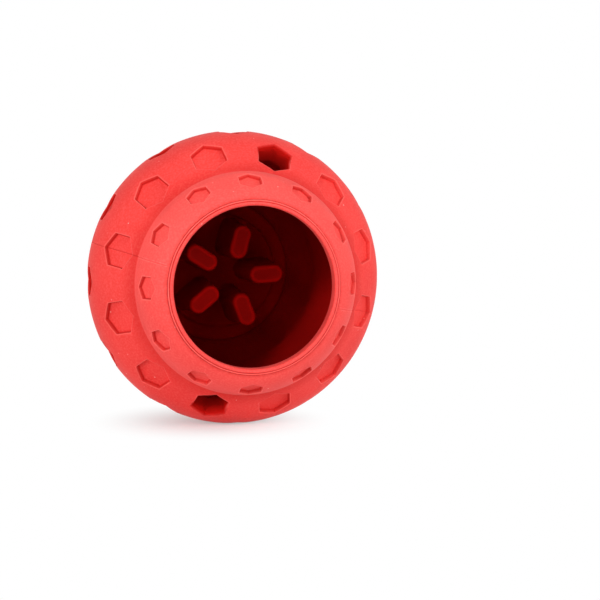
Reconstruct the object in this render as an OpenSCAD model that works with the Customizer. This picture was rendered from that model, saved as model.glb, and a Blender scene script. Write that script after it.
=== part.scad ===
/* [Ball] */
// Diameter round the equator
ball_d = 110; // [96:1:120]
// Length along the axis, from the mouth's lip to the back face
ball_depth = 79.6; // [76:0.2:84]
// Radius of the bulge at the equator, in a cut along the axis
equator_arc_r = 20.7; // [17:0.1:24]
// Wall at the equator and under the cone
wall = 7; // [5:0.1:8.5]
// Wall under the collar
collar_wall = 4.7; // [4:0.1:6]
// Wall at the back
back_wall = 5; // [4:0.1:6]
// Angle of the seam between the two half shells, from the X axis
seam_angle = -15; // [-15:30:345]

/* [Collar and mouth] */
// Diameter where the cone meets the collar
collar_d = 81.8; // [76:0.2:86]
// Distance from the equator plane to where the cone meets the collar
collar_z = 23.6; // [22:0.1:26]
// Radius of the collar's bulge, in a cut along the axis
collar_arc_r = 20; // [17:0.1:26]
// Diameter of the crease round the mouth
crease_d = 63; // [60:0.2:66]
// Inside diameter of the mouth
mouth_d = 58.6; // [54:0.2:59]
// Length of the mouth ring's sleeve, from the lip inwards
sleeve_length = 5; // [4:0.1:6]
// Width of the thin bead between the crease and the lip
bead_w = 0.6; // [0.4:0.1:0.8]

/* [Hexagons] */
// Hexagons in each row round the ball
hex_count = 12; // [12:2:12]
// Width across the flats of the hexagons on the cone, and of the two holes
cone_hex_w = 11.9; // [9:0.1:12.6]
// Width across the flats of the two holes at the inside of the wall
hole_inner_w = 9.7; // [7:0.1:12.6]
// Place of those hexagons, measured along the cone from the equator's bulge
cone_hex_along = 4.1; // [3:0.1:5]
// Width across the flats of the hexagons on the collar
collar_hex_w = 8.1; // [6:0.1:9.5]
// Width across the flats of the hexagons on the equator
equator_hex_w = 10.7; // [8:0.1:12]
// Depth of the recesses
recess_depth = 2; // [1:0.1:2.6]

/* [Fingers] */
// Distance from the axis to the middle of a finger
finger_ring_r = 13.5; // [13:0.1:16]
// Length of a finger's top, along the radius
finger_top_length = 12.5; // [10:0.1:13.5]
// Width of a finger's top
finger_top_w = 6.6; // [5:0.1:7.4]
// Length of a finger's root, along the radius
finger_root_length = 15; // [14:0.1:15.6]
// Width of a finger's root
finger_root_w = 7.6; // [7:0.1:7.8]
// Height of a finger's top above the base plate
finger_height = 28.9; // [24:0.1:34]
// Radius of the rounding round a finger's top
finger_edge_r = 1.6; // [0.8:0.1:2]
// Height above the base plate of the line that a finger bends about
bend_height = 9; // [8.4:0.1:10]
// Clearance between a finger's foot and its seat
seat_gap = 0.3; // [0.2:0.05:0.5]

/* [Base plate] */
// Flat back of the hollow left free round the plate
base_margin = 1.7; // [0.5:0.1:4]
// Thickness of the plate
base_t = 2.5; // [2:0.1:4]
// Height above the plate of the hub that holds the fingers' feet
hub_height = 2.6; // [2.2:0.1:3]
// Depth of the seats in the hub, below the plate's top
seat_dip = 0.6; // [0.4:0.1:1.2]
// Hub outside the seats
hub_rim = 1.5; // [1:0.1:2]

/* [Hidden] */

red = "#e8403c";
dark_red = "#b32a28";

// Cuts run this far past the faces that they open
overrun = 1;
// Space for adhesive round the mouth ring
bond_gap = 0.05;

half_turn = 180;
sixth_turn = 60;
hex_step = 2 * half_turn / hex_count;
hull_faces = 32;
arc_steps = 10;
$fn = 96;

ball_r = ball_d / 2;
half_depth = ball_depth / 2;
collar_r = collar_d / 2;
crease_r = crease_d / 2;
mouth_r = mouth_d / 2;

// Centre of the equator's bulge lies on the equator plane
bulge_x = ball_r - equator_arc_r;

// The lip is a round bead between the mouth and the thin bead
lip_w = crease_r - bead_w - mouth_r;
crease_z = half_depth - lip_w / 2;

// Lengths across a hexagon's corners
function across_corners(flats) = flats / cos(sixth_turn / 2);

// Points along an arc in the section, by the lean of its normal from the axis
function arc(centre, r, from, to) = [
    for (i = [0 : arc_steps])
        let (lean = from + (to - from) * i / arc_steps)
            centre + r * [sin(lean), cos(lean)]
];

// The same points on the other side of the equator, in the opposite order
function mirrored(points) = [
    for (i = [len(points) - 1 : -1 : 0]) [points[i][0], -points[i][1]]
];

// Lean from the axis of the line from one point to another
function lean_of(centre, point) = atan2(point[0] - centre[0], point[1] - centre[1]);

// The cone runs from the bulge, which it touches, to the foot of the collar
kink = [collar_r, collar_z];
bulge_spoke = kink - [bulge_x, 0];
cone_lean = lean_of([0, 0], bulge_spoke) + acos(equator_arc_r / norm(bulge_spoke));
cone_normal = [sin(cone_lean), cos(cone_lean)];
cone_way = [-cos(cone_lean), sin(cone_lean)];
cone_start = [bulge_x, 0] + equator_arc_r * cone_normal;

// Centre of the collar's bulge, from the two points that it runs through
crease = [crease_r, crease_z];
collar_chord = crease - kink;
collar_reach = sqrt(pow(collar_arc_r, 2) - pow(norm(collar_chord) / 2, 2));
collar_side = [-collar_chord[1], collar_chord[0]] / norm(collar_chord);
collar_centre = (kink + crease) / 2 + collar_reach * collar_side;
kink_lean = lean_of(collar_centre, kink);
crease_lean = lean_of(collar_centre, crease);
collar_lean = (kink_lean + crease_lean) / 2;
cavity_arc_r = collar_arc_r - collar_wall;

cone_hex_place = cone_start + cone_hex_along * cone_way;
collar_hex_place = collar_centre + collar_arc_r * [sin(collar_lean), cos(collar_lean)];

// The back wall's flat inside face carries the base plate
back_inside_z = back_wall - half_depth;
plate_rise = -back_inside_z - collar_centre[1];
base_r = collar_centre[0] + sqrt(max(0, pow(cavity_arc_r, 2) - pow(plate_rise, 2))) - base_margin;
plate_top_z = back_inside_z + base_t;
bend_z = plate_top_z + bend_height;
finger_top_z = plate_top_z + finger_height;

// A finger's foot is round about the bend line and turns in a round seat
seat_r = bend_height + seat_dip;
foot_r = seat_r - seat_gap;
seat_drop = bend_height - hub_height;
seat_half_length = sqrt(pow(seat_r, 2) - pow(seat_drop, 2));
seat_half_w = finger_root_w / 2 + seat_gap;
hub_r = finger_ring_r + seat_half_length + hub_rim;

// One finger stands in line with the hole in the upper shell
finger_count = 5;
finger_step = 2 * half_turn / finger_count;
hole_angle = seam_angle + half_turn / 2;

// Everything below is drawn with the ball's axis along Z, and then laid along -Y
module lay_down() {
    rotate([half_turn / 2, 0, 0])
        children();
}

// Section of the ball from the axis outwards, with a raised disc at the back and no mouth
module body_section() {
    outer = concat(
        arc(collar_centre, collar_arc_r, crease_lean, kink_lean),
        arc([bulge_x, 0], equator_arc_r, cone_lean, half_turn / 2)
    );
    disc_edge = arc([mouth_r + lip_w / 2, crease_z], lip_w / 2, 0, half_turn / 2);
    polygon(concat(
        [[0, crease_z]],
        outer,
        mirrored(outer),
        mirrored(disc_edge),
        [[0, -half_depth]]
    ));
}

// Section of the hollow behind one collar
module collar_hollow() {
    inner = arc(collar_centre, cavity_arc_r, 0, kink_lean);
    polygon(concat(
        [[0, 0], [0, half_depth], [inner[0][0], half_depth]],
        inner,
        [[inner[arc_steps][0], 0]]
    ));
}

// Section of the hollow, closed at the back and open at the mouth
module cavity_section() {
    bulge = concat(
        [kink - wall * cone_normal],
        arc([bulge_x, 0], equator_arc_r - wall, cone_lean, half_turn / 2)
    );
    intersection() {
        union() {
            polygon(concat([[0, bulge[0][1]]], bulge, mirrored(bulge), [[0, -bulge[0][1]]]));
            collar_hollow();
            mirror([0, 1])
                collar_hollow();
        }
        translate([0, back_inside_z])
            square([ball_r, ball_depth - back_inside_z]);
    }
    square([crease_r, half_depth + overrun]);
}

// Hexagonal prism along a leaning normal, with a corner towards the pole
module hexagon(place, lean, flats, depth) {
    translate([place[0], 0, place[1]])
        rotate([0, lean, 0])
            translate([0, 0, -depth])
                cylinder(h = depth + overrun, d = across_corners(flats), $fn = 6);
}

// Hole through the wall, with the same outline outside as a recess, and narrower inside
module tapered_hole() {
    depth = 2 * wall;
    taper = (cone_hex_w - hole_inner_w) / wall;
    translate([cone_hex_place[0], 0, cone_hex_place[1]])
        rotate([0, cone_lean, 0])
            translate([0, 0, -depth])
                cylinder(
                    h = depth + overrun,
                    d1 = across_corners(cone_hex_w - taper * depth),
                    d2 = across_corners(cone_hex_w + taper * overrun),
                    $fn = 6
                );
}

// Prisms for the recesses of one half shell, on both sides of the equator
module recess_prisms() {
    for (i = [0 : hex_count / 2]) {
        rotate([0, 0, seam_angle + i * hex_step]) {
            hexagon(cone_hex_place, cone_lean, cone_hex_w, recess_depth);
            mirror([0, 0, 1])
                hexagon(cone_hex_place, cone_lean, cone_hex_w, recess_depth);
        }
    }
    for (i = [0 : hex_count / 2 - 1]) {
        rotate([0, 0, seam_angle + (i + 1 / 2) * hex_step]) {
            hexagon([ball_r, 0], half_turn / 2, equator_hex_w, recess_depth);
            hexagon(collar_hex_place, collar_lean, collar_hex_w, recess_depth);
            mirror([0, 0, 1])
                hexagon(collar_hex_place, collar_lean, collar_hex_w, recess_depth);
        }
    }
}

// Half of the ball's wall, on the side of the upper hole
module half_shell() {
    difference() {
        rotate([0, 0, seam_angle])
            rotate_extrude(angle = half_turn)
                difference() {
                    body_section();
                    cavity_section();
                }
        recess_prisms();
        rotate([0, 0, hole_angle])
            tapered_hole();
    }
}

module upper_shell() {
    color(red)
        lay_down()
            half_shell();
}

module lower_shell() {
    color(red)
        lay_down()
            rotate([0, 0, half_turn])
                half_shell();
}

// Seamless ring bonded into the mouth, with a rolled lip and a thin bead beside it
module mouth_ring() {
    sleeve_r = crease_r - bond_gap;
    color(red)
        lay_down()
            rotate_extrude() {
                translate([mouth_r, half_depth - sleeve_length])
                    square([sleeve_r - mouth_r, sleeve_length - lip_w / 2]);
                translate([mouth_r + lip_w / 2, crease_z])
                    circle(d = lip_w);
                translate([crease_r - bead_w / 2 - bond_gap, crease_z])
                    circle(d = bead_w);
            }
}

// Plate on the back wall, with a hub that has a round-bottomed seat for each finger's foot
module finger_base() {
    color(dark_red)
        lay_down()
            difference() {
                union() {
                    translate([0, 0, back_inside_z])
                        cylinder(h = base_t, r = base_r);
                    translate([0, 0, back_inside_z])
                        cylinder(h = base_t + hub_height, r = hub_r);
                }
                for (i = [0 : finger_count - 1]) {
                    rotate([0, 0, hole_angle + i * finger_step])
                        translate([finger_ring_r, seat_half_w, bend_z])
                            rotate([half_turn / 2, 0, 0])
                                cylinder(h = 2 * seat_half_w, r = seat_r);
                }
            }
}

// Tapered finger with round ends and a rounded top, along the radius
module finger_shape() {
    root_r = finger_root_w / 2;
    root_x = finger_root_length / 2 - root_r;
    top_r = finger_top_w / 2;
    top_x = finger_top_length / 2 - top_r;
    hull() {
        for (side = [-1, 1]) {
            translate([side * root_x, 0, bend_z - foot_r])
                cylinder(h = overrun, r = root_r, $fn = hull_faces);
            translate([side * top_x, 0, finger_top_z - finger_edge_r])
                rotate_extrude($fn = hull_faces)
                    translate([top_r - finger_edge_r, 0])
                        circle(r = finger_edge_r, $fn = hull_faces);
        }
    }
}

// Finger in its own direction, with its foot rounded about the bend line
module finger(i) {
    color(dark_red)
        lay_down()
            rotate([0, 0, hole_angle + i * finger_step])
                translate([finger_ring_r, 0, 0])
                    intersection() {
                        finger_shape();
                        union() {
                            translate([0, finger_root_w, bend_z])
                                rotate([half_turn / 2, 0, 0])
                                    cylinder(h = 2 * finger_root_w, r = foot_r);
                            translate([-finger_root_length, -finger_root_w, bend_z])
                                cube([2 * finger_root_length, 2 * finger_root_w, finger_height]);
                        }
                    }
}

upper_shell();
lower_shell();
mouth_ring();
finger_base();
finger(0);  // finger_1
finger(1);  // finger_2
finger(2);  // finger_3
finger(3);  // finger_4
finger(4);  // finger_5
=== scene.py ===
from math import acos, atan2, cos, degrees, hypot, pi, radians, sin, sqrt
import bmesh
import bpy
from mathutils import Matrix, Vector, noise
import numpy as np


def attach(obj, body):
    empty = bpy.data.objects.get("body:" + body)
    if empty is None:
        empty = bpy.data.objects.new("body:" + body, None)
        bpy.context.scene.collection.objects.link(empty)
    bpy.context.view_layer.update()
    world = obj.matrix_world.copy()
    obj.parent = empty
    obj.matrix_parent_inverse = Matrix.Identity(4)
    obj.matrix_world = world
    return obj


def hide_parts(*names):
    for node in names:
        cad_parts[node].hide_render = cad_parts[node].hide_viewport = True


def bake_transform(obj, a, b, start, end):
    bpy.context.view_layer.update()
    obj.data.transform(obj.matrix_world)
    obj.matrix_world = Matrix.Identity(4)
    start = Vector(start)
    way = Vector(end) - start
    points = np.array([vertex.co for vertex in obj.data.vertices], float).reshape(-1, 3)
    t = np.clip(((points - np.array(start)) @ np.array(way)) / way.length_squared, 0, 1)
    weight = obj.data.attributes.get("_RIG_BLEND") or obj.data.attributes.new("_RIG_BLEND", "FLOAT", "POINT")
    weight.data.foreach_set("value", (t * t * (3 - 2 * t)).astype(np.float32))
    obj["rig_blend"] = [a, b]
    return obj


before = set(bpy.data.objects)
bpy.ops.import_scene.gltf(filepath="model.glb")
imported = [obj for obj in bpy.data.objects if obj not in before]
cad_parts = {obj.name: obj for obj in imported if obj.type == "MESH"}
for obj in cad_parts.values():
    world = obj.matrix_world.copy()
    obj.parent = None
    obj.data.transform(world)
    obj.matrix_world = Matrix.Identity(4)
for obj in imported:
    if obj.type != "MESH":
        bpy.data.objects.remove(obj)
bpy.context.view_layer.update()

# Camera: a long lens, a little above the ball and round to the left of its mouth
camera = {
    "azimuth": -13.0,
    "elevation": 6.07,
    "lens": 120.0,
    "sensor": 36.0,
    "distance": 0.751,
    "aimRight": 0.0249,        # the ball stands left of the middle of the frame
    "aimDown": 0.0084,
    "near": 0.01,
    "far": 20.0,
}


def lookFrom(azimuth, elevation):
    # turn of a camera or lamp that looks at the ball from these angles, in degrees
    return Matrix.Rotation(radians(azimuth), 4, "Z") @ Matrix.Rotation(
        radians(90.0 - elevation), 4, "X")


def addCamera():
    data = bpy.data.cameras.new("camera")
    data.lens = camera["lens"]
    data.sensor_width = camera["sensor"]
    data.clip_start = camera["near"]
    data.clip_end = camera["far"]
    view = bpy.data.objects.new("camera", data)
    bpy.context.collection.objects.link(view)
    offset = Vector((camera["aimRight"], -camera["aimDown"], camera["distance"]))
    turn = lookFrom(camera["azimuth"], camera["elevation"])
    view.matrix_world = turn @ Matrix.Translation(offset)
    bpy.context.scene.camera = view


addCamera()
print("camera placed")

# Shared sizes, in millimetres, with the ball's axis along Z and its mouth up
ball = {
    "equatorRadius": 55.0,
    "halfDepth": 39.8,
    "bulgeRadius": 20.7,
    "collarRadius": 40.9,      # where the cone meets the collar
    "collarHeight": 23.6,
    "collarArc": 20.0,
    "creaseRadius": 31.5,
    "mouthRadius": 29.3,
    "beadWidth": 0.6,
    "seamAngle": -15.0,
    "wall": 7.0,
    "collarWall": 4.7,
    "backWall": 5.0,
}
# how close points have to be, in millimetres
snap = {
    "cut": 0.012,              # to lie on the plane of a cut
    "line": 0.02,              # to lie on the side of a hexagon or on a row of the seam
    "opened": 0.03,            # to lie on the edge of an opening
    "weld": 0.004,             # to become one
    "plane": 0.002,            # to lie on a mirror's plane or between the two halves
}
lipWidth = ball["creaseRadius"] - ball["beadWidth"] - ball["mouthRadius"]
creaseHeight = ball["halfDepth"] - lipWidth / 2
bulgeCentre = Vector((ball["equatorRadius"] - ball["bulgeRadius"], 0.0))
kink = Vector((ball["collarRadius"], ball["collarHeight"]))
crease = Vector((ball["creaseRadius"], creaseHeight))


def leanOf(spoke):
    return degrees(atan2(spoke[0], spoke[1]))


def arcPoint(centre, radius, lean):
    return centre + radius * Vector((sin(radians(lean)), cos(radians(lean))))


def arcPoints(centre, radius, start, end, steps):
    return [arcPoint(centre, radius, start + (end - start) * i / steps) for i in range(steps + 1)]


def cornerPoints(before, corner, after, steps):
    points = []
    for i in range(steps + 1):
        t = i / steps
        points.append(before * (1 - t) ** 2 + corner * 2 * t * (1 - t) + after * t ** 2)
    return points


# the cone runs from the bulge, which it touches, to the kink, where the collar's arc starts
kinkSpoke = kink - bulgeCentre
coneLean = leanOf(kinkSpoke) + degrees(acos(ball["bulgeRadius"] / kinkSpoke.length))
coneNormal = Vector((sin(radians(coneLean)), cos(radians(coneLean))))
coneWay = Vector((-cos(radians(coneLean)), sin(radians(coneLean))))
coneStart = bulgeCentre + ball["bulgeRadius"] * coneNormal
chord = crease - kink
chordOffset = sqrt(ball["collarArc"] ** 2 - (chord.length / 2) ** 2)
collarCentre = (kink + crease) / 2 + chordOffset * Vector((-chord[1], chord[0])).normalized()
kinkLean = leanOf(kink - collarCentre)
creaseLean = leanOf(crease - collarCentre)
collarLean = (kinkLean + creaseLean) / 2

# Hexagons: a row on the equator, one on each cone and one on each collar
hexagons = {
    "pitch": 30.0,             # degrees from one to the next in a row
    "perHalf": 6,              # of a row in each half of the shell
    "coneWidth": 11.9,         # across the flats
    "holeAlong": 4.1,          # way up the cone to the two holes,
    "recessAlong": 3.4,        # and to the recesses, which lie a little nearer the equator
    "collarWidth": 8.1,
    "collarShift": 1.4,        # degrees that its row lies outside the middle of the collar
    "equatorWidth": 10.7,
    "depth": 2.0,
    "rim": 0.32,               # rounding of the moulded edge
    "rimTurns": (0, 25, 50, 90),
    "rimBand": 0.5,            # width of the paler line round each recess, wear and a painted highlight
    "rimPeak": 0.15,           # and where it is palest
    "floorFillet": 0.35,
    "floorTurns": (0, 40, 65, 90),
    "draft": 0.14,             # the walls lean in by this much
    "wallTint": 0.75,          # how far the walls take the painted shade
    "topTint": 0.6,            # share of it at their top edge
    "equatorTint": 1.0,
    "equatorFloor": 0.6,       # the floors on the equator take some of it too
    "holeRim": 0.3,            # the two holes are crisp beside the collar
    "holeSoftRim": 1.2,        # and soft on the side of the equator
    "softStart": 0.35,         # the change starts a little on the collar's side
    "softWidth": 1.1,
    "holeRows": (0.0, 0.1, 0.3, 0.6, 0.9, 1.15),   # cuts for that edge, outwards from a side
    "holeWidth": 9.7,          # at the inside of the wall, which they narrow towards
    "holeFlare": 0.8,          # rounding of their inner edge
    "flareWidth": 0.3,         # first step of that rounding, as a share of it
    "holePlace": 3,            # where the hole stands in the row of its half
    "holeSegments": 72,
    # depth of each outline of a hole, and how crisp its corners are there
    "holeLoops": ((1.6, 60.0), (3.2, 30.0), (4.3, 18.0), (5.4, 13.0)),
    "holeCrisp": 10.0,
    "outerHeights": (-3.5, 9.0),   # points of the outer skin, from the hexagon's plane
    "innerHeights": (-9.5, -3.5),
    "spokeMargin": 3.4,        # how far outside a hexagon each step works
    "rowMargin": 1.9,
    "pressMargin": 2.5,
    "openMargin": 1.0,
    "seamMargin": 0.4,
}


def hexFrame(angle, lean, place, width, tint, floorTint):
    # axes of one hexagon: out of the surface, towards the pole, and round the ball
    out = Vector((cos(radians(angle)), sin(radians(angle)), 0.0))
    up = Vector((0.0, 0.0, 1.0))
    normal = out * sin(radians(lean)) + up * cos(radians(lean))
    corner = up * sin(radians(lean)) - out * cos(radians(lean))
    side = Vector((-sin(radians(angle)), cos(radians(angle)), 0.0))
    sides = []
    for k in range(6):
        turn = radians(30 + 60 * k)
        sides.append(corner * cos(turn) + side * sin(turn))
    return {
        "origin": out * place[0] + up * place[1],
        "normal": normal, "corner": corner, "side": side, "sides": sides,
        "apothem": width / 2, "floor": True, "heights": hexagons["outerHeights"],
        "tint": tint, "floorTint": floorTint,
    }


def coneHexagon(angle, face=1, along="recessAlong"):
    place = coneStart + hexagons[along] * coneWay
    lean = coneLean if face > 0 else 180 - coneLean
    return hexFrame(angle, lean, (place[0], place[1] * face), hexagons["coneWidth"],
                    hexagons["wallTint"], 0.0)


def collarHexagon(angle, face=1):
    outLean = collarLean + hexagons["collarShift"]
    place = arcPoint(collarCentre, ball["collarArc"], outLean)
    lean = outLean if face > 0 else 180 - outLean
    return hexFrame(angle, lean, (place[0], place[1] * face), hexagons["collarWidth"],
                    hexagons["wallTint"], 0.0)


def equatorHexagon(angle):
    return hexFrame(angle, 90.0, (ball["equatorRadius"], 0.0), hexagons["equatorWidth"],
                    hexagons["equatorTint"], hexagons["equatorFloor"])


def flatPlace(hexagon, point):
    offset = point - hexagon["origin"]
    return offset.dot(hexagon["corner"]), offset.dot(hexagon["side"]), offset.dot(hexagon["normal"])


def sideDistance(hexagon, point):
    # distance outside the nearest side, negative inside the hexagon
    offset = point - hexagon["origin"]
    return max(offset.dot(s) for s in hexagon["sides"]) - hexagon["apothem"]


def isNear(hexagon, point, margin):
    a, b, height = flatPlace(hexagon, point)
    low, high = hexagon["heights"]
    return low < height < high and hypot(a, b) < hexagon["apothem"] * 2 / sqrt(3) + margin


def bisectFaces(mesh, faces, place, normal):
    parts = list(dict.fromkeys(
        faces + [e for f in faces for e in f.edges] + [v for f in faces for v in f.verts]))
    bmesh.ops.bisect_plane(mesh, geom=parts, dist=snap["cut"], plane_co=place, plane_no=normal)


def scoreHexagon(mesh, hexagon, rows):
    # cuts the surface from corner to corner, and then parallel to each side
    margin = hexagons["spokeMargin"]
    for k in range(3):
        turn = radians(60 * k)
        across = hexagon["side"] * cos(turn) - hexagon["corner"] * sin(turn)
        faces = [f for f in mesh.faces if any(isNear(hexagon, v.co, margin) for v in f.verts)]
        bisectFaces(mesh, faces, hexagon["origin"], across)
    for k in range(6):
        for row in rows:
            faces = []
            for f in mesh.faces:
                a, b = flatPlace(hexagon, f.calc_center_median())[:2]
                if 60 * k < degrees(atan2(b, a)) % 360 < 60 * (k + 1):
                    if any(isNear(hexagon, v.co, hexagons["rowMargin"]) for v in f.verts):
                        faces.append(f)
            if faces:
                place = hexagon["origin"] + hexagon["sides"][k] * (hexagon["apothem"] + row)
                bisectFaces(mesh, faces, place, hexagon["sides"][k])


def recessRows():
    # distances from a side at which the surface is cut: the pale band, the rim and the fillet
    rim, fillet, draft = hexagons["rim"], hexagons["floorFillet"], hexagons["draft"]
    rimRows = [rim * (1 - sin(radians(t))) for t in hexagons["rimTurns"]]
    floorRows = [-draft - fillet * (1 - cos(radians(t))) for t in hexagons["floorTurns"]]
    return [hexagons["rimBand"]] + rimRows + floorRows


def rimOf(hexagon, point):
    # rounding of the edge at this point: the holes turn soft towards the equator
    if hexagon["floor"]:
        return hexagons["rim"]
    a, b = flatPlace(hexagon, point)[:2]
    turn = -a / max(hypot(a, b), snap["plane"])
    blend = min(1.0, max(0.0, (turn + hexagons["softStart"]) / hexagons["softWidth"]))
    blend = blend * blend * (3 - 2 * blend)
    return hexagons["holeRim"] + (hexagons["holeSoftRim"] - hexagons["holeRim"]) * blend


def pressHexagon(hexagon, wearHighlight, paintedShade, verts):
    # presses the recess, or only the rounded edge of a hole, and marks the rims for wear and a painted
    # highlight, and the walls and floors for painted shade
    depth, fillet, draft = hexagons["depth"], hexagons["floorFillet"], hexagons["draft"]
    peak, topTint = hexagons["rimPeak"], hexagons["topTint"]
    for v in verts:
        if not isNear(hexagon, v.co, hexagons["pressMargin"]):
            continue
        outside = sideDistance(hexagon, v.co)
        if abs(outside) < snap["line"]:
            outside = 0.0
        rim = rimOf(hexagon, v.co)
        if outside >= 0:
            band = 1 - abs(outside - peak) / (hexagons["rimBand"] - peak)
            v[wearHighlight] = max(v[wearHighlight], band * hexagons["rim"] / max(rim, hexagons["holeRim"]))
        if outside >= rim:
            continue
        height = flatPlace(hexagon, v.co)[2]
        if outside >= 0:
            drop = rim - sqrt(max(0.0, rim ** 2 - (rim - outside) ** 2))
            target = height - drop
            if hexagon["floor"]:
                v[paintedShade] = max(v[paintedShade], topTint * hexagon["tint"] * float(outside == 0))
            else:
                v[paintedShade] = (1 - (outside / rim) ** 2) * min(1.0, rim)
        elif not hexagon["floor"]:
            continue
        elif outside > -draft - snap["line"]:
            share = min(1.0, -outside / draft)
            target = (height - rim) * (1 - share) + (fillet - depth) * share
            v[paintedShade] = (topTint + (1 - topTint) * share) * hexagon["tint"]
        elif outside > -draft - fillet:
            along = -draft - outside
            target = fillet - depth - sqrt(max(0.0, fillet ** 2 - (fillet - along) ** 2))
            v[paintedShade] = (1 - along / fillet) * hexagon["tint"] + hexagon["floorTint"] * along / fillet
        else:
            target = -depth
            v[paintedShade] = hexagon["floorTint"]
        v.co += hexagon["normal"] * (target - height)


def spinSection(mesh, points, angle, steps, merge=False, closed=False):
    verts = [mesh.verts.new((p[0], 0.0, p[1])) for p in points]
    pairs = list(zip(verts, verts[1:]))
    if closed:
        pairs.append((verts[-1], verts[0]))
    edges = [mesh.edges.new(pair) for pair in pairs]
    before = set(mesh.faces)
    bmesh.ops.spin(mesh, geom=verts + edges, cent=(0, 0, 0), axis=(0, 0, 1), dvec=(0, 0, 0),
                   angle=radians(angle), steps=steps, use_merge=merge)
    return [f for f in mesh.faces if f not in before]


def makeObject(mesh, name, materials):
    data = bpy.data.meshes.new(name)
    mesh.to_mesh(data)
    mesh.free()
    for material in materials:
        data.materials.append(material)
    made = bpy.data.objects.new(name, data)
    bpy.context.collection.objects.link(made)
    return made


def finishPiece(mesh, name, materials, node, sharp=32.0):
    # turns the axis to lie along -Y, goes from millimetres to metres and makes the object,
    # whose edges stay crisp where they turn by more than sharp degrees
    bmesh.ops.recalc_face_normals(mesh, faces=mesh.faces[:])
    for e in mesh.edges:
        e.smooth = not (e.is_manifold and e.calc_face_angle(0.0) > radians(sharp))
    for f in mesh.faces:
        f.smooth = True
    lay = Matrix.Scale(0.001, 4) @ Matrix.Rotation(radians(90), 4, "X")
    bmesh.ops.transform(mesh, matrix=lay, verts=mesh.verts[:])
    piece = makeObject(mesh, name, materials)
    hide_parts(node)
    return piece


# Half shell: the outer skin with its recesses, the hollow, the back, the hole and the seam
shell = {
    "columns": 144,            # faces round half a turn, and below along its section
    "bulgeSteps": 12,
    "coneSteps": 9,
    "kinkSteps": 4,
    "collarSteps": 15,
    "creaseSteps": 3,
    "innerCollarSteps": 8,
    "neckSteps": 7,
    "innerBulgeSteps": 5,
    "innerBackSteps": 6,
    "rollSteps": 8,
    "backSteps": 10,
    "kinkSoft": 0.7,           # rounding where the cone meets the collar
    "creaseSoft": 0.35,        # and in the creases round the mouth and the back
    "boreLength": 3.0,         # straight stretch behind the crease
    "neckTurn": 8.0,           # degrees of the collar's arc that the neck's rounding takes
    "neckRise": 1.6,           # the neck stays this much thicker than the wall
    "backEdge": 0.6,           # what the hollow's wall leaves free above its flat back
    "backGroove": (31.2, 0.55),    # radius and depth of the crease at the back
    "rollStart": 75.0,         # degrees at which the back's rolled edge leaves that crease
    "creaseBand": 0.5,         # the painted shade in the creases: its half width and depth
    "creaseDepth": 1.2,
    "creaseTint": 0.75,
    "creaseNoise": (0.4, 0.9), # strength and scale
    "seamRows": (0.18, 0.36, 0.64),    # its flanks are highest at the second of these
    "seamReach": 0.01,         # faces this far past a row are still cut by it
    "seamLift": 0.05,
    "seamRough": (0.6, 0.8, 0.35),     # lift of the flanks: mean, change and scale
    "seamGroove": 0.13,
    "seamTint": 0.6,           # painted shade in the groove on the cone and the bulge
    "collarSeamShade": 0.2,         # and on the collar, where its flanks carry a painted highlight
    "collarSeamFrom": 0.3,         # above the collar's foot
    "flankHighlight": (0.7, 1.6, 0.8),     # mean, change and scale
    "seamBack": 0.2,           # no seam this close to the flat back
    "seamStop": (30.0, 31.9, 37.5),    # nor in the creases: two radii and a height
    "shadeFade": 0.5,              # how far the painted shade of the walls weakens,
    "shadeFadeFrom": 20.0,          # from here to the right of the axis
    "shadeFadeWidth": 20.0,         # and over this width
}


def outerSection():
    # from the equator over the bulge, the cone and the collar into the crease
    points = arcPoints(bulgeCentre, ball["bulgeRadius"], 90.0, coneLean, shell["bulgeSteps"])
    soft, creaseSoft, steps = shell["kinkSoft"], shell["creaseSoft"], shell["coneSteps"]
    coneEnd = kink - coneWay * soft
    run = coneEnd - coneStart
    points += [coneStart + run * i / steps for i in range(1, steps + 1)]
    firstLean = kinkLean - degrees(soft / ball["collarArc"])
    lastLean = creaseLean + degrees(creaseSoft / ball["collarArc"])
    collarFoot = arcPoint(collarCentre, ball["collarArc"], firstLean)
    points += cornerPoints(coneEnd, kink, collarFoot, shell["kinkSteps"])[1:]
    points += arcPoints(collarCentre, ball["collarArc"], firstLean, lastLean, shell["collarSteps"])[1:]
    below = crease - Vector((0.0, creaseSoft))
    points += cornerPoints(points[-1], crease, below, shell["creaseSteps"])[1:]
    return points


def innerSection():
    # from the crease down the bore and round the hollow to the middle of its flat back
    back = ball["backWall"] - ball["halfDepth"]
    arcRadius = ball["collarArc"] - ball["collarWall"]
    boreLean = 90.0 - degrees(acos((ball["creaseRadius"] - collarCentre[0]) / arcRadius))
    neckLean = kinkLean - shell["neckTurn"]
    collarArc = arcPoints(collarCentre, arcRadius, boreLean, neckLean, shell["innerCollarSteps"])
    foot = Vector((collarArc[-1][0], kink[1] - ball["wall"] + shell["neckRise"]))
    bulgeWall = arcPoints(bulgeCentre, ball["bulgeRadius"] - ball["wall"], coneLean, 90.0,
                          shell["innerBulgeSteps"])
    front = cornerPoints(collarArc[-1], foot, bulgeWall[0], shell["neckSteps"])[1:-1]
    upper = collarArc + front + bulgeWall
    lower = [Vector((p[0], -p[1])) for p in reversed(upper[:-1]) if -p[1] > back + shell["backEdge"]]
    flatEdge = collarCentre[0] + sqrt(arcRadius ** 2 - (-back - collarCentre[1]) ** 2)
    bore = [crease - Vector((0.0, shell["creaseSoft"])),
            Vector((ball["creaseRadius"], creaseHeight - shell["boreLength"]))]
    steps = shell["innerBackSteps"]
    flat = [Vector((flatEdge * (steps - i) / steps, back)) for i in range(steps + 1)]
    return bore + upper + lower + flat


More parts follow.
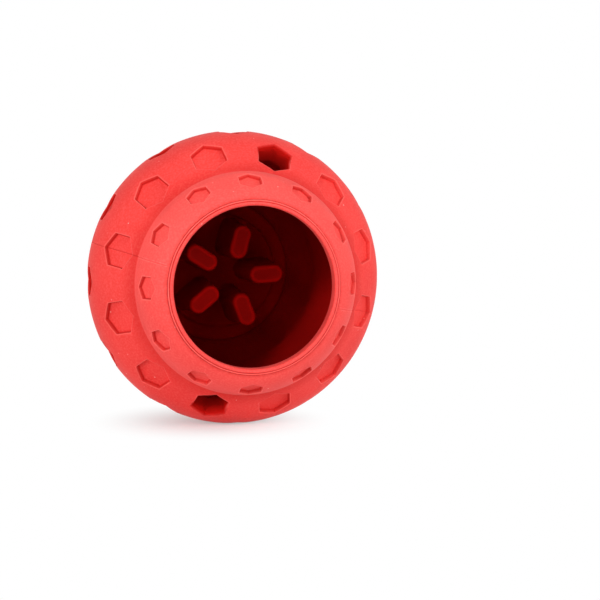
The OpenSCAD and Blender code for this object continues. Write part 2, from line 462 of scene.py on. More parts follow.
def backSection():
    # the closed back: a crease, a rolled edge and a flat disc
    roll = Vector((ball["mouthRadius"] + lipWidth / 2, -creaseHeight))
    start = Vector((ball["creaseRadius"], shell["creaseSoft"] - creaseHeight))
    grooveRadius, grooveDepth = shell["backGroove"]
    points = [start, Vector((grooveRadius, grooveDepth - creaseHeight))]
    points += arcPoints(roll, lipWidth / 2, shell["rollStart"], 180.0, shell["rollSteps"])
    edge, steps = points[-1][0], shell["backSteps"]
    points += [Vector((edge * (steps - i) / steps, -ball["halfDepth"])) for i in range(1, steps + 1)]
    return points


def halfOuterSkin():
    # one forty-eighth of the ball is scored, then mirrored and repeated round half a turn
    mesh = bmesh.new()
    pitch, perHalf = hexagons["pitch"], hexagons["perHalf"]
    half = pitch / 2
    spinSection(mesh, outerSection(), half, shell["columns"] // (2 * perHalf))
    rows = recessRows()
    for hexagon in (equatorHexagon(0.0), collarHexagon(0.0), coneHexagon(half)):
        scoreHexagon(mesh, hexagon, rows)
    for axis in ("Y", "Z"):
        bmesh.ops.mirror(mesh, geom=mesh.verts[:] + mesh.edges[:] + mesh.faces[:],
                         matrix=Matrix(), merge_dist=snap["plane"], axis=axis)
    bmesh.ops.rotate(mesh, cent=(0, 0, 0), matrix=Matrix.Rotation(radians(half), 3, "Z"),
                     verts=mesh.verts[:])
    bmesh.ops.spin(mesh, geom=mesh.verts[:] + mesh.edges[:] + mesh.faces[:], cent=(0, 0, 0),
                   axis=(0, 0, 1), dvec=(0, 0, 0), angle=radians((perHalf - 1) * pitch),
                   steps=perHalf - 1, use_duplicate=True)
    bmesh.ops.remove_doubles(mesh, verts=mesh.verts[:], dist=snap["weld"])
    return mesh


def holeRing(mesh, hexagon, paintedShade, width, depth, crisp):
    # an outline of the hole: a hexagon whose corners turn round as crisp falls, with painted shade that
    # darkens the deeper it lies
    made = bmesh.ops.create_circle(mesh, cap_ends=False, radius=1.0,
                                   segments=hexagons["holeSegments"])
    for v in made["verts"]:
        way = v.co.normalized()
        turn = degrees(atan2(way.y, way.x))
        spread = sum(max(0.0, cos(radians(turn - 30 - 60 * k))) ** crisp for k in range(6))
        reach = width / 2 * spread ** (-1 / crisp)
        v.co = hexagon["origin"] - hexagon["normal"] * depth + reach * (
            hexagon["corner"] * way.x + hexagon["side"] * way.y)
        v[paintedShade] = 1.0 + min(1.0, depth / ball["wall"])
    return list(dict.fromkeys(e for v in made["verts"] for e in v.link_edges))


def takeOut(mesh, hexagon):
    # takes out what lies inside the hexagon and gives the edges that are left open
    margin = hexagons["openMargin"]
    inside = [f for f in mesh.faces
              if all(isNear(hexagon, v.co, margin)
                     and sideDistance(hexagon, v.co) < snap["line"] for v in f.verts)]
    bmesh.ops.delete(mesh, geom=inside, context="FACES")
    return [e for e in mesh.edges if e.is_boundary
            and all(isNear(hexagon, v.co, margin)
                    and abs(sideDistance(hexagon, v.co)) < snap["opened"] for v in e.verts)]


def openHole(mesh, hexagon, inner, paintedShade):
    wall, narrow, crisp = ball["wall"], hexagons["holeWidth"], hexagons["holeCrisp"]
    taper = (hexagons["coneWidth"] - narrow) / wall
    loops = [takeOut(mesh, hexagon)]
    for depth, corners in hexagons["holeLoops"] + ((wall - hexagons["holeFlare"], crisp),):
        width = hexagons["coneWidth"] - taper * depth
        loops.append(holeRing(mesh, hexagon, paintedShade, width, depth, corners))
    flare = hexagons["flareWidth"] * hexagons["holeFlare"]
    loops.append(holeRing(mesh, hexagon, paintedShade, narrow + flare, wall - flare, crisp))
    loops.append(takeOut(mesh, inner))
    for first, second in zip(loops, loops[1:]):
        bmesh.ops.bridge_loops(mesh, edges=first + second)


def scoreSeam(mesh):
    for row in shell["seamRows"]:
        near = [f for f in mesh.faces
                if f.material_index == 0 and min(v.co.y for v in f.verts) < row + shell["seamReach"]]
        bisectFaces(mesh, near, Vector((0.0, row, 0.0)), Vector((0.0, 1.0, 0.0)))
    bmesh.ops.recalc_face_normals(mesh, faces=mesh.faces[:])
    mesh.normal_update()


def hasSeam(v):
    # the seam runs over the outer skin, but not over the flat back or in the creases
    if v.co.y > shell["seamRows"][-1] or all(f.material_index == 1 for f in v.link_faces):
        return False
    inner, outer, height = shell["seamStop"]
    inCrease = inner < hypot(v.co.x, v.co.y) < outer and abs(v.co.z) > height
    return not (v.co.z < shell["seamBack"] - ball["halfDepth"] or inCrease)


def closeHalf(mesh):
    # the flat face where this half meets the other
    rimEdges = [e for e in mesh.edges
                if e.is_boundary and all(v.co.y < snap["plane"] for v in e.verts)]
    for e in rimEdges:
        for v in e.verts:
            v.co.y = 0.0
    made = bmesh.ops.edgeloop_fill(mesh, edges=rimEdges)
    for f in made["faces"]:
        f.material_index = 0
    left = [e for e in mesh.edges if not e.is_manifold]
    print("seam cut,", len(mesh.faces), "faces,", len(left), "open edges")


def cutSeam(mesh, wearHighlight, paintedShade):
    # a fine groove with raised flanks where the two halves of the mould met, with painted shade in the
    # groove and, on the collar, a painted highlight on its flanks
    scoreSeam(mesh)
    crossed = [coneHexagon(angle, face) for angle in (0.0, 180.0) for face in (1, -1)]
    mean, change, scale = shell["seamRough"]
    pale, paleChange, paleScale = shell["flankHighlight"]
    moves = []
    for v in mesh.verts:
        if not hasSeam(v):
            continue
        way = Vector((v.normal.x, 0.0, v.normal.z)).normalized()
        for hexagon in crossed:
            if isNear(hexagon, v.co, hexagons["seamMargin"]):
                way = hexagon["normal"]
        rubbedHighlight = abs(v.co.z) > ball["collarHeight"] + shell["collarSeamFrom"]
        if v.co.y < snap["plane"]:
            moves.append((v, way * -shell["seamGroove"]))
            v[paintedShade] = max(v[paintedShade], shell["collarSeamShade"] if rubbedHighlight else shell["seamTint"])
        elif abs(v.co.y - shell["seamRows"][1]) < snap["line"]:
            rough = mean + change * noise.noise(v.co * scale)
            moves.append((v, way * shell["seamLift"] * rough))
            if rubbedHighlight:
                v[wearHighlight] = min(1.0, max(v[wearHighlight], pale + paleChange * noise.noise(v.co * paleScale)))
    for v, move in moves:
        v.co += move
    closeHalf(mesh)


def darkenCreases(mesh, paintedShade):
    # painted shade in the narrow groove beside the mouth's bead, and in the one round the back
    band = shell["creaseBand"]
    change, scale = shell["creaseNoise"]
    for v in mesh.verts:
        off = hypot(v.co.x, v.co.y) - ball["creaseRadius"]
        if abs(off) < band and abs(v.co.z) > creaseHeight - shell["creaseDepth"]:
            tint = shell["creaseTint"] + change * noise.noise(v.co * scale)
            v[paintedShade] = tint * (1 - abs(off) / band)


def pressRecesses(wearHighlight, paintedShade, verts):
    # the three rows of this half, on both faces of the ball, without the hole's own place
    pitch, perHalf = hexagons["pitch"], hexagons["perHalf"]
    for i in range(perHalf + 1):
        for face in (1, -1):
            if not (i == hexagons["holePlace"] and face == 1):
                pressHexagon(coneHexagon(pitch * i, face), wearHighlight, paintedShade, verts)
    for i in range(perHalf):
        angle = pitch * (i + 0.5)
        pressHexagon(equatorHexagon(angle), wearHighlight, paintedShade, verts)
        for face in (1, -1):
            pressHexagon(collarHexagon(angle, face), wearHighlight, paintedShade, verts)


def halfShell():
    mesh = halfOuterSkin()
    print("outer skin", len(mesh.faces), "faces")
    inner = spinSection(mesh, innerSection(), 180.0, shell["columns"])
    for f in inner:
        f.material_index = 1   # the rubber inside, with painted shade
    spinSection(mesh, backSection(), 180.0, shell["columns"])
    bmesh.ops.remove_doubles(mesh, verts=mesh.verts[:], dist=snap["weld"])
    wearHighlight = mesh.verts.layers.float.new("rimWearHighlight")
    paintedShade = mesh.verts.layers.float.new("painted_shade")
    darkenCreases(mesh, paintedShade)

    hole = coneHexagon(hexagons["pitch"] * hexagons["holePlace"], along="holeAlong")
    hole["floor"] = False
    scoreHexagon(mesh, hole, hexagons["holeRows"])
    innerHole = dict(hole, apothem=hexagons["holeWidth"] / 2 + hexagons["holeFlare"],
                     heights=hexagons["innerHeights"])
    scoreHexagon(mesh, innerHole, (0.0,))
    outerVerts = [v for v in mesh.verts if any(f.material_index == 0 for f in v.link_faces)]
    pressRecesses(wearHighlight, paintedShade, outerVerts)
    pressHexagon(hole, wearHighlight, paintedShade, outerVerts)
    openHole(mesh, hole, innerHole, paintedShade)
    cutSeam(mesh, wearHighlight, paintedShade)
    return mesh


def fadeWallShade(mesh):
    # the painted shade of the walls weakens to half towards one side of the ball
    paintedShade = mesh.verts.layers.float["painted_shade"]
    for v in mesh.verts:
        across = (v.co.x - shell["shadeFadeFrom"]) / shell["shadeFadeWidth"]
        v[paintedShade] *= 1 - shell["shadeFade"] * min(1.0, max(0.0, across))


def addShells():
    mesh = halfShell()
    lower = mesh.copy()
    bmesh.ops.rotate(lower, cent=(0, 0, 0), matrix=Matrix.Rotation(pi, 3, "Z"), verts=lower.verts[:])
    for half, node in ((mesh, "upper_shell"), (lower, "lower_shell")):
        bmesh.ops.rotate(half, cent=(0, 0, 0), verts=half.verts[:],
                         matrix=Matrix.Rotation(radians(ball["seamAngle"]), 3, "Z"))
        fadeWallShade(half)
        piece = finishPiece(half, node + ".moulded", [shellRubber, shadedInsideRubber], node)
        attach(piece, "ball")
    print("shells made")


# Mouth ring: a sleeve in the bore with a rolled lip and a thin bead beside it
ring = {
    "columns": 288,
    "footSteps": 4,
    "lipSteps": 16,
    "beadSteps": 10,
    "sharp": 50.0,
    "sleeveLength": 5.0,
    "bondGap": 0.05,
    "chamfer": 0.3,            # at the sleeve's foot outside, and its rounding inside
    "footRound": 0.5,
    "lipStart": 1.2,           # the lip starts to roll this far below its middle
    "lipEnd": 82.0,            # degrees at which the lip meets the bead
    "beadStart": -72.0,
    "lipTint": 0.3,            # painted shade at the mouth's edge, fading over this share of the lip
    "lipFade": 0.6,
    "groove": 0.75,            # share of the lip at which the painted shade line beside the bead starts
    "beadHighlight": (0.7, 0.5, 0.4),   # painted highlight along the bead: mean, change and scale
}


def addMouthRing():
    mesh = bmesh.new()
    sleeve = ball["creaseRadius"] - ring["bondGap"]
    foot = ball["halfDepth"] - ring["sleeveLength"]
    mouth, footRound = ball["mouthRadius"], ring["footRound"]
    footCorner, footEnd = Vector((mouth, foot)), Vector((mouth, foot + footRound))
    lip = Vector((mouth + lipWidth / 2, creaseHeight))
    bead = Vector((sleeve - ball["beadWidth"] / 2, creaseHeight))
    points = [Vector((sleeve - ring["chamfer"], foot)), Vector((mouth + footRound, foot))]
    points += cornerPoints(points[-1], footCorner, footEnd, ring["footSteps"])[1:]
    points += [Vector((mouth, creaseHeight - ring["lipStart"]))]
    points += arcPoints(lip, lipWidth / 2, -90.0, ring["lipEnd"], ring["lipSteps"])
    points += arcPoints(bead, ball["beadWidth"] / 2, ring["beadStart"], 90.0, ring["beadSteps"])
    points += [Vector((sleeve, foot + ring["chamfer"]))]
    spinSection(mesh, points, 360.0, ring["columns"], merge=True, closed=True)
    wearHighlight = mesh.verts.layers.float.new("rimWearHighlight")
    paintedShade = mesh.verts.layers.float.new("painted_shade")
    mean, change, scale = ring["beadHighlight"]
    groove = ring["groove"]
    for v in mesh.verts:
        across = hypot(v.co.x, v.co.y) - mouth
        onLip, onBead = across / lipWidth, (across - lipWidth) / ball["beadWidth"]
        # painted shade at the mouth's edge and beside the bead, and a painted highlight on the bead's crest
        if onLip < 1:
            fade = ring["lipTint"] * (1 - onLip / ring["lipFade"])
            v[paintedShade] = max(fade, (onLip - groove) / (1 - groove), 0.0)
        else:
            v[paintedShade] = abs(2 * onBead - 1) ** 3
            rough = mean + change * noise.noise(v.co * scale)
            v[wearHighlight] = rough * (1 - abs(2 * onBead - 1) ** 2)
    piece = finishPiece(mesh, "mouth_ring.rolled", [shellRubber], "mouth_ring",
                        ring["sharp"])
    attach(piece, "ball")
    print("mouth ring made")


# Base plate with the hub that the fingers stand on
base = {
    "radius": 27.6,
    "thickness": 2.5,
    "hubRadius": 22.1,
    "hubHeight": 2.6,
    "edge": 2.6,               # both steps are soft, this wide
    "rise": 0.49,              # and this share of the thickness high
    "dark": 0.5,               # painted shade, darker towards its middle, between the fingers
    "columns": 128,
    "edgeSteps": 6,
    "flatSteps": 6,
}


def addBase():
    mesh = bmesh.new()
    low = ball["backWall"] - ball["halfDepth"]
    top = low + base["thickness"]
    hub = top + base["hubHeight"]
    radius, hubRadius, soft = base["radius"], base["hubRadius"], base["edge"]
    rise = base["rise"] * base["thickness"]
    steps = base["edgeSteps"]
    points = [Vector((0.0, low)), Vector((radius, low))]
    points += cornerPoints(Vector((radius, top - rise)), Vector((radius, top)),
                           Vector((radius - soft, top)), steps)
    points += cornerPoints(Vector((hubRadius + soft, top)), Vector((hubRadius, top)),
                           Vector((hubRadius, top + rise)), steps)
    points += cornerPoints(Vector((hubRadius, hub - rise)), Vector((hubRadius, hub)),
                           Vector((hubRadius - soft, hub)), steps)
    cells = base["flatSteps"]
    points += [Vector((hubRadius * (cells - i) / cells, hub)) for i in range(1, cells + 1)]
    spinSection(mesh, points, 360.0, base["columns"], merge=True)
    bmesh.ops.remove_doubles(mesh, verts=mesh.verts[:], dist=snap["weld"])
    # painted shade over the whole base, darker towards its middle
    paintedShade = mesh.verts.layers.float.new("painted_shade")
    for v in mesh.verts:
        v[paintedShade] = 1 + base["dark"] * (1 - hypot(v.co.x, v.co.y) / radius)
    piece = finishPiece(mesh, "finger_base.moulded", [shadedInsideRubber], "finger_base")
    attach(piece, "ball")
    print("finger base made")


# Fingers: tall, slightly tapered, with a rounded edge and a dished top that carry a painted highlight
finger = {
    "ringRadius": 13.5,
    "topLength": 12.9,
    "topWidth": 6.9,
    "rootLength": 15.0,
    "rootWidth": 7.6,
    "top": -3.4,
    "foot": -29.9,
    "bend": -23.3,
    "bendReach": 6.0,
    "edge": 1.25,
    "dish": 0.25,
    "shaftSteps": 18,
    "flare": 0.9,              # the foot widens over its lowest ninth
    "flareSteepness": 9,
    # painted highlight at each lean of the rounded edge, and on the dish inside it
    "edgeHighlight": ((15, 0.1), (30, 0.3), (45, 0.6), (60, 0.9), (75, 1.0), (90, 0.8)),
    "dishHighlight": 0.25,
    "dishShares": (0.75, 0.5, 0.25),
    "corners": 48,
    "count": 5,
    "firstAngle": 75.0,
    "step": 72.0,
}


def stadium(mesh, wearHighlight, length, width, height, rubbedHighlight):
    # one closed outline of a finger, along the radius of the ring
    made = bmesh.ops.create_circle(mesh, cap_ends=False, radius=width / 2,
                                   segments=finger["corners"])
    turn = Matrix.Rotation(pi / finger["corners"], 3, "Z")
    bmesh.ops.rotate(mesh, cent=(0, 0, 0), matrix=turn, verts=made["verts"])
    for v in made["verts"]:
        v.co.x += (length - width) / 2 * (1 if v.co.x > 0 else -1)
        v.co.z = height
        v[wearHighlight] = rubbedHighlight
    return list(dict.fromkeys(e for v in made["verts"] for e in v.link_edges))


def fingerLevels():
    # length, width, height and painted highlight of each outline, from the foot up and over the rounded edge
    levels = []
    edge, steps = finger["edge"], finger["shaftSteps"]
    straightTop = finger["top"] - edge
    for i in range(steps + 1):
        t = i / steps
        length = finger["rootLength"] + (finger["topLength"] - finger["rootLength"]) * t
        width = finger["rootWidth"] + (finger["topWidth"] - finger["rootWidth"]) * t
        height = finger["foot"] + (straightTop - finger["foot"]) * t
        flare = finger["flare"] * max(0.0, 1 - t * finger["flareSteepness"]) ** 2
        levels.append((length + flare, width + flare, height, 0.0))
    for lean, rubbedHighlight in finger["edgeHighlight"]:
        inset = 2 * edge * (1 - cos(radians(lean)))
        levels.append((finger["topLength"] - inset, finger["topWidth"] - inset,
                       straightTop + edge * sin(radians(lean)), rubbedHighlight))
    flatLength, flatWidth = levels[-1][0], levels[-1][1]
    for share in finger["dishShares"]:
        levels.append((flatLength - flatWidth * (1 - share), flatWidth * share,
                       finger["top"] - finger["dish"] * (1 - share) ** 0.5, finger["dishHighlight"]))
    return levels


def addFingers():
    start, end = finger["bend"] - finger["bendReach"], finger["bend"] + finger["bendReach"]
    for i in range(finger["count"]):
        mesh = bmesh.new()
        wearHighlight = mesh.verts.layers.float.new("rimWearHighlight")
        loops = [stadium(mesh, wearHighlight, *level) for level in fingerLevels()]
        for lower, upper in zip(loops, loops[1:]):
            bmesh.ops.bridge_loops(mesh, edges=lower + upper)
        for loop in (loops[0], loops[-1]):
            bmesh.ops.edgeloop_fill(mesh, edges=loop)
        angle = radians(finger["firstAngle"] + finger["step"] * i)
        place = Matrix.Rotation(angle, 4, "Z") @ Matrix.Translation((finger["ringRadius"], 0.0, 0.0))
        bmesh.ops.transform(mesh, matrix=place, verts=mesh.verts[:])
        node = "finger_%d" % (i + 1)
        piece = finishPiece(mesh, node + ".soft", [shadedInsideRubber], node)
        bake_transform(piece, "ball", node, start=(0.0, -start / 1000, 0.0), end=(0.0, -end / 1000, 0.0))
    print("fingers made")


# Materials
def linear(colour):
    # sRGB hex to the linear values that the nodes take
    parts = [int(colour[i:i + 2], 16) / 255 for i in (1, 3, 5)]
    return tuple(p / 12.92 if p <= 0.04045 else ((p + 0.055) / 1.055) ** 2.4 for p in parts) + (1.0,)


def addNode(tree, kind, settings={}, values={}, links={}):
    node = tree.nodes.new(kind)
    for name, value in settings.items():
        setattr(node, name, value)
    for socket, value in values.items():
        node.inputs[socket].default_value = value
    for socket, source in links.items():
        tree.links.new(source, node.inputs[socket])
    return node


def newMaterial(name):
    material = bpy.data.materials.new(name)
    material.use_nodes = True
    tree = material.node_tree
    tree.nodes.clear()
    return material, tree


def mixColours(tree, factor, first, second):
    # first and second are colours or the outputs of nodes. This node's sockets 6 and 7 and
    # its output 2 are the ones for colours
    values, links = {}, {0: factor}
    for socket, colour in ((6, first), (7, second)):
        if isinstance(colour, tuple):
            values[socket] = colour
        else:
            links[socket] = colour
    return addNode(tree, "ShaderNodeMix", {"data_type": "RGBA"}, values, links).outputs[2]


def mouldedFace(tree, place, look):
    # slow clouds where the compound filled the mould unevenly
    clouds = addNode(tree, "ShaderNodeTexNoise", {}, {
        "Scale": 1000 / look["cloudSize"], "Detail": 3.0}, {"Vector": place})
    cloudShare = addNode(tree, "ShaderNodeMapRange", {}, {
        "From Min": look["cloudRange"][0], "From Max": look["cloudRange"][1],
    }, {"Value": clouds.outputs["Fac"]})
    body = mixColours(tree, cloudShare.outputs[0], linear(look["dark"]), linear(look["colour"]))
    # fine grain of the moulded face, drawn coarser than it is so that it shows
    grain = addNode(tree, "ShaderNodeTexNoise", {}, {
        "Scale": 1000 / look["grainSize"], "Detail": 2.0}, {"Vector": place})
    grainShare = addNode(tree, "ShaderNodeMapRange", {}, {
        "From Min": look["grainRange"][0], "From Max": look["grainRange"][1], "To Max": look["grain"],
    }, {"Value": grain.outputs["Fac"]})
    body = mixColours(tree, grainShare.outputs[0], body, linear(look["light"]))
    return body, grain.outputs["Fac"]


def dusted(tree, place, body, look):
    # specks of dust, one in each cell of a loose grid, most of them left out
    cells = addNode(tree, "ShaderNodeTexVoronoi", {}, {"Scale": 1000 / look["speckSpacing"]},
                    {"Vector": place})
    edge = look["speckSize"] / look["speckSpacing"]
    near = addNode(tree, "ShaderNodeMapRange", {}, {
        "From Min": edge, "From Max": look["speckCore"] * edge}, {"Value": cells.outputs["Distance"]})
    pick = addNode(tree, "ShaderNodeSeparateColor", links={"Color": cells.outputs["Color"]})
    chosen = addNode(tree, "ShaderNodeMapRange", {}, {"From Min": 1 - look["specks"]},
                     {"Value": pick.outputs[0]})
    speck = addNode(tree, "ShaderNodeMath", {"operation": "MULTIPLY"}, {},
                    {0: near.outputs[0], 1: chosen.outputs[0]})
    return mixColours(tree, speck.outputs[0], body, linear(look["dust"]))


def wornHighlitEdges(tree, body, look):
    # the moulded edges are drawn a little paler: wear and a painted highlight
    wearHighlight = addNode(tree, "ShaderNodeAttribute", {"attribute_name": "rimWearHighlight"})
    rubbedHighlight = addNode(tree, "ShaderNodeMath", {"operation": "MULTIPLY"}, {1: look["rubbedHighlight"]},
                     {0: wearHighlight.outputs["Fac"]})
    return mixColours(tree, rubbedHighlight.outputs[0], body, linear(look["light"]))


# where the painted shade beside the collar and the collar's paler colour start and end, in millimetres from
# its foot
collarFade = {"cornerStart": -6.0, "cornerEnd": -0.2, "collarStart": -0.1, "collarEnd": 0.7}


def besideCollar(tree, place, body, look):
    # painted shade in the corner beside the collar, and the collar itself drawn a little paler
    stops = {name: (ball["collarHeight"] + offset) / 1000 for name, offset in collarFade.items()}
    along = addNode(tree, "ShaderNodeSeparateXYZ", links={0: place})
    height = addNode(tree, "ShaderNodeMath", {"operation": "ABSOLUTE"}, {}, {0: along.outputs[1]})
    corner = addNode(tree, "ShaderNodeMapRange", {"interpolation_type": "SMOOTHSTEP"}, {
        "From Min": stops["cornerStart"], "From Max": stops["cornerEnd"], "To Max": look["corner"],
    }, {"Value": height.outputs[0]})
    collar = addNode(tree, "ShaderNodeMapRange", {}, {
        "From Min": stops["collarStart"], "From Max": stops["collarEnd"],
    }, {"Value": height.outputs[0]})
    outer = addNode(tree, "ShaderNodeMath", {"operation": "SUBTRACT", "use_clamp": True}, {},
                    {0: corner.outputs[0], 1: collar.outputs[0]})
    body = mixColours(tree, outer.outputs[0], body, linear(look["shadeRed"]))
    paled = addNode(tree, "ShaderNodeMath", {"operation": "MULTIPLY"}, {1: look["collar"]},
                    {0: collar.outputs[0]})
    return mixColours(tree, paled.outputs[0], body, linear(look["dust"])), outer.outputs[0]


def paintShade(tree, body, look):
    # painted shade: the walls of the recesses, the creases, the seam and the base take the dark red, and the
    # holes darken further inwards
    wall = addNode(tree, "ShaderNodeAttribute", {"attribute_name": "painted_shade"})
    body = mixColours(tree, wall.outputs["Fac"], body, linear(look["shadeRed"]))
    inward = addNode(tree, "ShaderNodeMapRange", {}, {
        "From Min": 1.0, "From Max": 2.0, "To Max": look["shade"]}, {"Value": wall.outputs["Fac"]})
    return mixColours(tree, inward.outputs[0], body, linear(look["inmost"])), wall.outputs["Fac"]


def rubberMaterial(name, look):
    material, tree = newMaterial(name)
    place = addNode(tree, "ShaderNodeTexCoord").outputs["Object"]
    body, grain = mouldedFace(tree, place, look)
    body = dusted(tree, place, body, look)
    body = wornHighlitEdges(tree, body, look)
    body, corner = besideCollar(tree, place, body, look)
    body, wall = paintShade(tree, body, look)
    # where shade is painted there is no sheen and no shine
    paintedShade = addNode(tree, "ShaderNodeMath", {"operation": "MAXIMUM"}, {}, {0: wall, 1: corner})
    bloom = addNode(tree, "ShaderNodeMapRange", {}, {"To Min": look["sheen"], "To Max": 0.0},
                    {"Value": paintedShade.outputs[0]})
    shine = addNode(tree, "ShaderNodeMapRange", {}, {"To Min": look["shine"], "To Max": 0.0},
                    {"Value": paintedShade.outputs[0]})
    rough = addNode(tree, "ShaderNodeMapRange", {}, {
        "To Min": look["roughness"] - look["roughChange"],
        "To Max": look["roughness"] + look["roughChange"],
    }, {"Value": grain})
    bump = addNode(tree, "ShaderNodeBump", {}, {
        "Strength": look["bump"], "Distance": look["bumpDepth"] / 1000}, {"Height": grain})
    shader = addNode(tree, "ShaderNodeBsdfPrincipled", {}, {
        "IOR": look["ior"], "Sheen Roughness": look["sheenRoughness"],
        "Sheen Tint": linear(look["dust"]),
    }, {
        "Base Color": body, "Roughness": rough.outputs[0], "Normal": bump.outputs[0],
        "Sheen Weight": bloom.outputs[0], "Specular IOR Level": shine.outputs[0],
    })
    addNode(tree, "ShaderNodeOutputMaterial", links={"Surface": shader.outputs[0]})
    return material


# moulded natural rubber: saturated, matt, with a faint bloom and fine dust that lift it.
# Sizes are in millimetres, and shares of a mix go from 0 to 1
shellLook = {
    "colour": "#ee3d38",
    "dark": "#e63531",
    "light": "#ff7a72",
    # painted shade: the dark red of the recess walls and creases, and the near black down the holes
    "shadeRed": "#bc1510",
    "inmost": "#3a0402",
    "dust": "#ffc4bc",
    "corner": 0.4,             # painted shade beside the collar
    "collar": 0.042,           # paler colour on the collar
    "shade": 0.6,              # painted shade down the holes
    # how far the rims take the paler colour: wear and a painted highlight
    "rubbedHighlight": 0.5,
    "cloudSize": 22.0,
    "cloudRange": (0.35, 0.65),
    "grainSize": 0.75,
    "grainRange": (0.4, 0.75),
    "grain": 0.24,
    "speckSpacing": 3.2,
    "speckSize": 0.32,
    "speckCore": 0.4,          # share of a speck that is solid
    "specks": 0.3,             # share of the cells that have one
    "ior": 1.52,
    "roughness": 0.58,
    "roughChange": 0.06,
    "bump": 0.3,
    "bumpDepth": 0.2,
    "sheen": 0.05,
    "sheenRoughness": 0.5,
    "shine": 0.18,
}
# the same rubber inside, darkened all over as painted shade
shadedInsideLook = {
    **shellLook,
    "colour": "#9c0906",
    "dark": "#8f0805",
    "light": "#c80a06",
    "shadeRed": "#a80a07",
    "dust": "#d8544a",
    "corner": 0.0,
    "collar": 0.0,
    "shade": 0.8,
    "rubbedHighlight": 0.8,
    "cloudSize": 18.0,
    "grainSize": 0.7,
    "grain": 0.15,
    "speckSpacing": 4.0,
    "speckSize": 0.3,
    "specks": 0.15,
    "roughness": 0.6,
    "sheen": 0.0,
    "shine": 0.02,
}
shellRubber = rubberMaterial("moulded natural rubber", shellLook)
shadedInsideRubber = rubberMaterial("moulded natural rubber with painted shade", shadedInsideLook)
addShells()
addMouthRing()
addBase()
addFingers()

# Floor, backdrop and light
studio = {
    "floorHeight": -0.05475,
    "floorSize": 4.0,
    # the paper's faint pink is a painted reflection of the ball's red
    "paper": "#f7ebeb",
    "floorGlow": 0.35,         # under the ball the floor shows its shade,
    "glowEnd": 0.048,          # and from here outwards it is plain white
    "glowCentre": (-0.008, 0.004),
    "worldStrength": 0.31,
    "lampSpread": 0.5,         # size of a lamp, as a share of its distance
}


def seenDirectly(tree):
    # 1 for the rays that show the background: to the camera, mirrored or through glass
    path = addNode(tree, "ShaderNodeLightPath")
    seen = addNode(tree, "ShaderNodeMath", {"operation": "MAXIMUM"}, {},
                   {0: path.outputs["Is Camera Ray"], 1: path.outputs["Is Transmission Ray"]})
    seen = addNode(tree, "ShaderNodeMath", {"operation": "MAXIMUM"}, {},
                   {0: seen.outputs[0], 1: path.outputs["Is Glossy Ray"]})
    return seen.outputs[0]


def paperMaterial():
    # matt white paper, tinted faintly pink as a painted reflection of the ball's red: it takes the ball's
    # shade and bounces a little of its red
    material, tree = newMaterial("white paper sweep")
    paper = addNode(tree, "ShaderNodeBsdfDiffuse", {}, {"Color": linear(studio["paper"])})
    glow = addNode(tree, "ShaderNodeEmission", {}, {"Color": (1, 1, 1, 1), "Strength": 1.0})
    place = addNode(tree, "ShaderNodeTexCoord")
    centre = studio["glowCentre"] + (studio["floorHeight"],)
    away = addNode(tree, "ShaderNodeVectorMath", {"operation": "DISTANCE"}, {1: centre},
                   {0: place.outputs["Object"]})
    share = addNode(tree, "ShaderNodeMapRange", {"interpolation_type": "SMOOTHSTEP"}, {
        "From Max": studio["glowEnd"], "To Min": studio["floorGlow"],
    }, {"Value": away.outputs["Value"]})
    seen = addNode(tree, "ShaderNodeMath", {"operation": "MULTIPLY"}, {},
                   {0: share.outputs[0], 1: seenDirectly(tree)})
    mixed = addNode(tree, "ShaderNodeMixShader", {}, {},
                    {0: seen.outputs[0], 1: paper.outputs[0], 2: glow.outputs[0]})
    addNode(tree, "ShaderNodeOutputMaterial", links={"Surface": mixed.outputs[0]})
    return material


def addFloor():
    mesh = bmesh.new()
    bmesh.ops.create_grid(mesh, x_segments=8, y_segments=8, size=studio["floorSize"] / 2)
    bmesh.ops.translate(mesh, vec=(0.0, 0.0, studio["floorHeight"]), verts=mesh.verts[:])
    makeObject(mesh, "floor", [paperMaterial()])


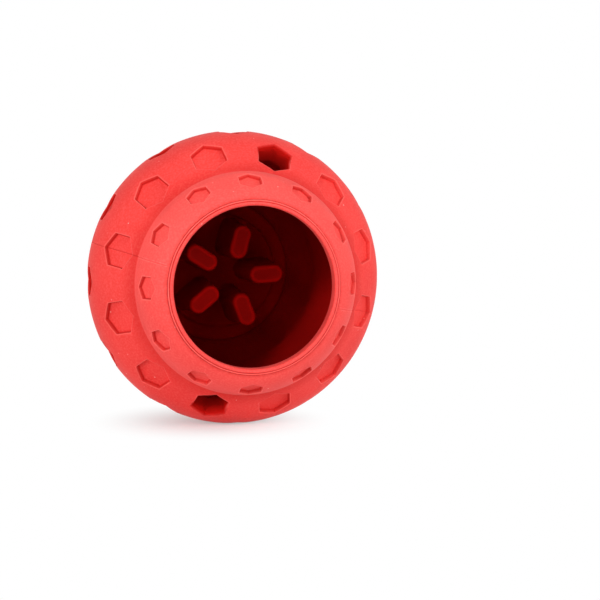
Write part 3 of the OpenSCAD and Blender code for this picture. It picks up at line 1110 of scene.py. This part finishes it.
def addWorld():
    world = bpy.data.worlds.new("white room")
    world.use_nodes = True
    tree = world.node_tree
    tree.nodes.clear()
    strength = addNode(tree, "ShaderNodeMapRange", {}, {"To Min": studio["worldStrength"]},
                       {"Value": seenDirectly(tree)})
    room = addNode(tree, "ShaderNodeBackground", {}, {"Color": (1, 1, 1, 1)},
                   {"Strength": strength.outputs[0]})
    addNode(tree, "ShaderNodeOutputWorld", links={"Surface": room.outputs[0]})
    bpy.context.scene.world = world


# soft round lamps, each placed by its angles to the camera's right and above the floor
lamps = {
    "far left": {"azimuth": -45.0, "elevation": 10.0, "distance": 1.0, "power": 2.44},
    "left side": {"azimuth": -75.0, "elevation": 10.0, "distance": 1.0, "power": 0.78},
    "far right": {"azimuth": 60.0, "elevation": 45.0, "distance": 1.0, "power": 1.2},
    "top": {"azimuth": 0.0, "elevation": 80.0, "distance": 1.0, "power": 0.78},
    "near right": {"azimuth": 50.0, "elevation": 15.0, "distance": 0.4, "power": 0.58},
    "near left": {"azimuth": -30.0, "elevation": 50.0, "distance": 0.4, "power": 0.16},
    "near front": {"azimuth": -15.0, "elevation": 15.0, "distance": 0.4, "power": 0.216},
    "near side": {"azimuth": 80.0, "elevation": 40.0, "distance": 0.4, "power": 0.14},
}
# a narrow beam through the mouth onto the inner wall
beam = {
    "azimuth": -27.0,
    "elevation": 25.0,
    "distance": 0.4,
    "aim": (0.0, -0.040, 0.0),
    "width": 10.0,             # degrees
    "softness": 1.0,
    "size": 0.05,
    "power": 6.5,
}


def placeLamp(data, lamp, aim=(0.0, 0.0, 0.0)):
    data.energy = lamp["power"]
    light = bpy.data.objects.new(data.name, data)
    turn = lookFrom(camera["azimuth"] + lamp["azimuth"], lamp["elevation"])
    away = Matrix.Translation((0.0, 0.0, lamp["distance"]))
    light.matrix_world = Matrix.Translation(aim) @ turn @ away
    bpy.context.collection.objects.link(light)


def addLamps():
    for name, lamp in lamps.items():
        data = bpy.data.lights.new(name, "AREA")
        data.shape = "DISK"
        data.size = studio["lampSpread"] * lamp["distance"]
        placeLamp(data, lamp)


def addBeam():
    data = bpy.data.lights.new("beam", "SPOT")
    data.spot_size = radians(beam["width"])
    data.spot_blend = beam["softness"]
    data.shadow_soft_size = beam["size"]
    placeLamp(data, beam, beam["aim"])


addFloor()
addWorld()
addLamps()
addBeam()
bpy.context.scene.view_settings.view_transform = "Standard"
print("floor, room and lamps added")
